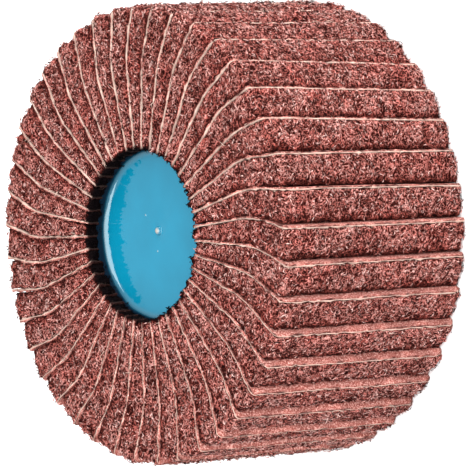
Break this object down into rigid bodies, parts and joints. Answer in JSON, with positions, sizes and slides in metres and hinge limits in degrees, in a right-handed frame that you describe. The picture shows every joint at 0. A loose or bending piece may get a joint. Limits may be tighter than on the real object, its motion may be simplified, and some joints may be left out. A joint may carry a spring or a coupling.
{
  "type": "non-woven abrasive wheel",
  "caption": "Interleaved flap wheel: maroon non-woven abrasive flaps alternate with abrasive cloth flaps round a blue cast resin core with a blind threaded steel hub at the back.",
  "frame": {"origin": "centre of the back of the wheel, on its axis", "axes": "+Z along the wheel's axis, from the hub's mouth at the back to the closed blue face at the front; +X is up in the picture"},
  "size_m": [0.0998, 0.0999, 0.05],
  "materials": {
    "web": "open non-woven nylon web filled with aluminium oxide grain, maroon",
    "cloth": "woven cotton backing, pale at its edges, red-brown grain on one side",
    "resin": "glossy light-blue cast resin",
    "hub_steel": "turned bare steel"
  },
  "bodies": {
    "root": {"web_flap_01": "web", "web_flap_02": "web", "web_flap_03": "web", "web_flap_04": "web", "web_flap_05": "web", "web_flap_06": "web", "web_flap_07": "web", "web_flap_08": "web", "web_flap_09": "web", "web_flap_10": "web", "web_flap_11": "web", "web_flap_12": "web", "web_flap_13": "web", "web_flap_14": "web", "web_flap_15": "web", "web_flap_16": "web", "web_flap_17": "web", "web_flap_18": "web", "web_flap_19": "web", "web_flap_20": "web", "web_flap_21": "web", "web_flap_22": "web", "web_flap_23": "web", "web_flap_24": "web", "web_flap_25": "web", "web_flap_26": "web", "web_flap_27": "web", "web_flap_28": "web", "web_flap_29": "web", "web_flap_30": "web", "web_flap_31": "web", "web_flap_32": "web", "web_flap_33": "web", "web_flap_34": "web", "web_flap_35": "web", "web_flap_36": "web", "web_flap_37": "web", "web_flap_38": "web", "web_flap_39": "web", "web_flap_40": "web", "web_flap_41": "web", "cloth_flaps_01": "cloth", "cloth_flaps_02": "cloth", "cloth_flaps_03": "cloth", "cloth_flaps_04": "cloth", "cloth_flaps_05": "cloth", "cloth_flaps_06": "cloth", "cloth_flaps_07": "cloth", "cloth_flaps_08": "cloth", "cloth_flaps_09": "cloth", "cloth_flaps_10": "cloth", "cloth_flaps_11": "cloth", "cloth_flaps_12": "cloth", "cloth_flaps_13": "cloth", "cloth_flaps_14": "cloth", "resin_core": "resin", "threaded_hub": "hub_steel"}
  },
  "joints": []
}
